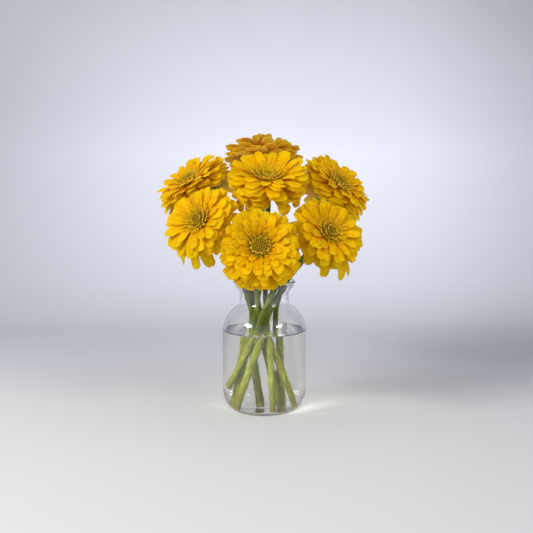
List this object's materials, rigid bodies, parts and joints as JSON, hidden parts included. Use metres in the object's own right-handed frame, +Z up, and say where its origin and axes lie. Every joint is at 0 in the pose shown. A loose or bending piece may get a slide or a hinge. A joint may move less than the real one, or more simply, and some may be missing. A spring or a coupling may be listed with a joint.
{
  "type": "glass vase of cut zinnias",
  "caption": "Clear glass bottle vase, over half full of water, that holds a rounded bunch of cut golden yellow double zinnias on bare green stems.",
  "frame": {"origin": "centre of the vase's flat foot, on the surface it stands on", "axes": "+Z up, -Y towards the front of the bunch, +X to the right of someone who looks at the front"},
  "size_m": [0.2515, 0.2429, 0.3332],
  "materials": {
    "glass": "clear polished glass",
    "water": "still clear water",
    "stem": "ribbed green stem",
    "petal": "velvety petal",
    "disc": "packed florets"
  },
  "bodies": {
    "root": {"vase": "glass", "water": "water", "stem_front": "stem", "petals_front": "petal", "disc_front": "disc", "stem_front_left": "stem", "petals_front_left": "petal", "disc_front_left": "disc", "stem_front_right": "stem", "petals_front_right": "petal", "disc_front_right": "disc", "stem_middle": "stem", "petals_middle": "petal", "disc_middle": "disc", "stem_left": "stem", "petals_left": "petal", "disc_left": "disc", "stem_right": "stem", "petals_right": "petal", "disc_right": "disc", "stem_back": "stem", "petals_back": "petal", "disc_back": "disc", "stem_back_left": "stem", "petals_back_left": "petal", "disc_back_left": "disc", "stem_back_right": "stem", "petals_back_right": "petal", "disc_back_right": "disc"}
  },
  "joints": []
}
